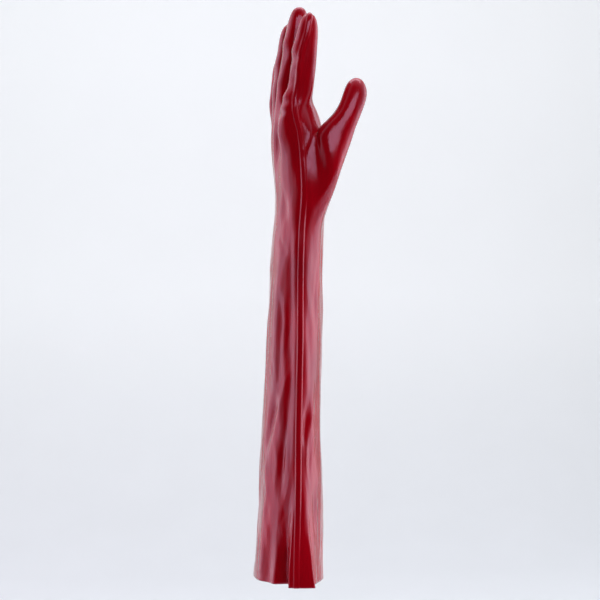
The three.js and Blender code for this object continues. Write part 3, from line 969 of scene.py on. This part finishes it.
def mould(mesh, settings):
    """Presses folds, waves and seams into the smooth coat. The cuff's edge stays level."""
    places, normals = vertex_arrays(mesh)
    hem = places[:, 2] < HEM
    swell(places)
    relax(mesh, places)
    heights = fold_heights(places, settings.fold_depth) + hand_heights(places)
    on_sleeve = 1 - 0.5 * smooth(places[:, 2], *WAVE_CHANGE)
    heights += settings.wave_depth * wavering(places) * on_sleeve
    places += normals * heights[:, None]
    places[hem, 2] = 0
    set_places(mesh, places)
    places, normals = vertex_arrays(mesh)
    distance = seam_distance(mesh, places)
    half = settings.seam_width / 2
    ridge = 1 - smooth(distance, half * RIDGE_FULL, half * RIDGE_END)
    places += normals * (settings.seam_height * ridge)[:, None]
    places[hem, 2] = 0
    set_places(mesh, places)


def toward(right, distance, height):
    """A place that many degrees to the right of the camera, seen from the glove."""
    azimuth = math.radians(CAMERA_AZIMUTH + right)
    return Vector((math.sin(azimuth) * distance, -math.cos(azimuth) * distance, height))


def box_light(name, place, aim, size, radiance, color):
    light = bpy.data.lights.new(name, "AREA")
    light.shape = "RECTANGLE"
    light.size, light.size_y = size
    light.energy = radiance * math.pi * size[0] * size[1]
    light.color = color
    lamp = bpy.data.objects.new(name, light)
    lamp.location = toward(*place)
    lamp.rotation_euler = (toward(*aim) - lamp.location).to_track_quat("-Z", "Y").to_euler()
    bpy.context.scene.collection.objects.link(lamp)


class GLOVE_OT_stage(bpy.types.Operator):
    """Set up the backdrop, the lights and the camera"""

    bl_idname = "glove.make_stage"
    bl_label = "Make studio"

    def execute(self, context):
        settings = context.scene.glove
        self.backdrop(context, settings)
        self.world(context)
        for light in LIGHTS:
            box_light(*light)
        self.camera(context)
        context.scene.view_settings.view_transform = "Standard"
        return {"FINISHED"}

    def backdrop(self, context, settings):
        profile = [(FLOOR_FRONT, FLOOR_HEIGHT), (FLOOR_BACK, FLOOR_HEIGHT)]
        for i in range(1, CURVE_STEPS + 1):
            angle = math.pi / 2 * i / CURVE_STEPS
            away = FLOOR_BACK + CURVE * math.sin(angle)
            profile.append((away, FLOOR_HEIGHT + CURVE * (1 - math.cos(angle))))
        profile.append((FLOOR_BACK + CURVE, WALL_TOP))
        points = [(x, y, z) for y, z in profile for x in (-HALF_BREADTH, HALF_BREADTH)]
        faces = [(2 * i, 2 * i + 1, 2 * i + 3, 2 * i + 2) for i in range(len(profile) - 1)]
        mesh = bpy.data.meshes.new("backdrop")
        mesh.from_pydata(points, [], faces)
        mesh.shade_smooth()
        sheet = bpy.data.objects.new("backdrop", mesh)
        context.scene.collection.objects.link(sheet)
        mesh.materials.append(backdrop_material(settings))

    def world(self, context):
        """Bright all round, and dark on the camera's side."""
        sky = Paint(bpy.data.worlds.new("studio"))
        place = sky.node("TexCoord", output="Generated")
        facing = sky.node(
            "VectorMath", {"operation": "DOT_PRODUCT"}, {0: place, 1: toward(0, 1, 0)}, "Value"
        )
        color = sky.node(
            "ValToRGB",
            {"stops": ((0, (0.9, 0.93, 0.98, 1)), (0.5, (0.02, 0.02, 0.02, 1)))},
            {"Fac": facing},
        )
        light = sky.node("Background", inputs={"Color": color})
        sky.node("OutputWorld", inputs={"Surface": light}, output=None)
        context.scene.world = sky.owner

    def camera(self, context):
        """Level with the middle of the glove, facing the thumb's side."""
        lens = bpy.data.cameras.new("camera")
        lens.sensor_width = 36
        lens.lens = LENS
        camera = bpy.data.objects.new("camera", lens)
        camera.location = toward(0, CAMERA_DISTANCE, CAMERA_HEIGHT) + toward(90, CAMERA_RIGHT, 0)
        camera.rotation_euler = (math.radians(90), 0, math.radians(CAMERA_AZIMUTH))
        context.scene.collection.objects.link(camera)
        context.scene.camera = camera


class GLOVE_PT_panel(bpy.types.Panel):
    """Sizes, colours and steps of the glove"""

    bl_label = "Work glove"
    bl_idname = "GLOVE_PT_panel"
    bl_space_type = "VIEW_3D"
    bl_region_type = "UI"
    bl_category = "Glove"

    def draw(self, context):
        settings = context.scene.glove
        for name in GloveSettings.__annotations__:
            self.layout.prop(settings, name)
        self.layout.operator(GLOVE_OT_coat.bl_idname)
        self.layout.operator(GLOVE_OT_stage.bl_idname)


CLASSES = (GloveSettings, GLOVE_OT_coat, GLOVE_OT_stage, GLOVE_PT_panel)


def register():
    for cls in CLASSES:
        bpy.utils.register_class(cls)
    bpy.types.Scene.glove = bpy.props.PointerProperty(type=GloveSettings)


def unregister():
    del bpy.types.Scene.glove
    for cls in reversed(CLASSES):
        bpy.utils.unregister_class(cls)


def main():
    register()
    bpy.ops.glove.make_stage()
    bpy.ops.glove.make_coat()


if __name__ == "__main__":
    main()
